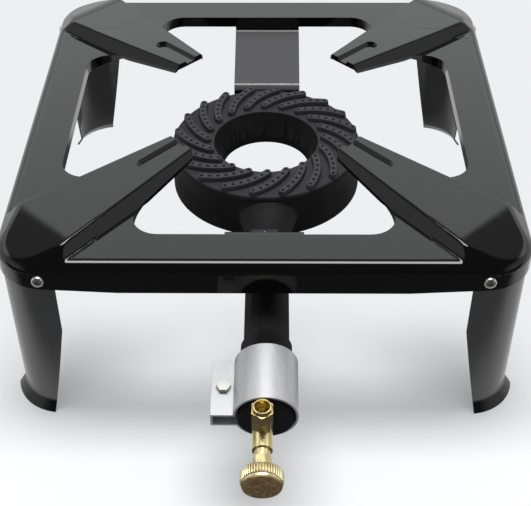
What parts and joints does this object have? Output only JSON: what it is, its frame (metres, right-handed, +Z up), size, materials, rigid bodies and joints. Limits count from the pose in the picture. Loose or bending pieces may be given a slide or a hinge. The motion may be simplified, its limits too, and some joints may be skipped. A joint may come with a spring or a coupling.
{
  "type": "gas wok burner",
  "caption": "Square stool-shaped gas wok burner: pressed enamelled stand with raised pan arms on corner legs, swirl-ribbed cast ring, air sleeve and brass needle valve.",
  "frame": {"origin": "centre of the burner ring and of the stand, on the floor that the four feet stand on", "axes": "+Z up; -Y towards the cook, where the mixing tube, valve and knob stick out; +X to the cook's right"},
  "size_m": [0.3022, 0.4052, 0.1257],
  "materials": {
    "enamel": "gloss black vitreous enamel on pressed steel",
    "zinc": "bright zinc plated steel",
    "cast_iron": "matt graphite grey high temperature paint on grey cast iron",
    "aluminium": "satin mill finish",
    "brass": "bright machined brass",
    "knob_brass": "knurled brass, face dulled",
    "packing": "nitrile rubber"
  },
  "bodies": {
    "burner": {"stand_top": "enamel", "leg_front_left": "enamel", "leg_front_right": "enamel", "leg_back_left": "enamel", "leg_back_right": "enamel", "leg_screws": "zinc", "leg_nuts": "zinc", "burner_casting": "cast_iron", "burner_bolts": "zinc", "burner_washers": "zinc", "valve_body": "brass", "injector_jet": "brass", "inlet_nut": "brass", "inlet_olive": "brass", "gland_packing": "packing", "gland_nut": "brass"},
    "air_shutter": {"air_sleeve": "aluminium", "sleeve_bolt": "zinc", "sleeve_nut": "zinc"},
    "spindle": {"valve_spindle": "brass"},
    "knob": {"knob": "knob_brass"}
  },
  "joints": [
    {"name": "air_sleeve_slide", "type": "slide", "parent": "burner", "child": "air_shutter", "axis": [0, 0.9962, 0.0872], "range_m": [0, 0.018]},
    {"name": "stem_lift", "type": "slide", "parent": "burner", "child": "spindle", "axis": [0, -0.9962, -0.0872], "range_m": [0, 0.0015]},
    {"name": "knob_turn", "type": "hinge", "parent": "spindle", "child": "knob", "pos_m": [0, -0.2444, 0.061], "axis": [0, -0.9962, -0.0872], "range_deg": [0, 540]}
  ],
  "couplings": [
    {"joint": "knob_turn", "follows": "stem_lift", "rad_per_m": 6283.2}
  ]
}
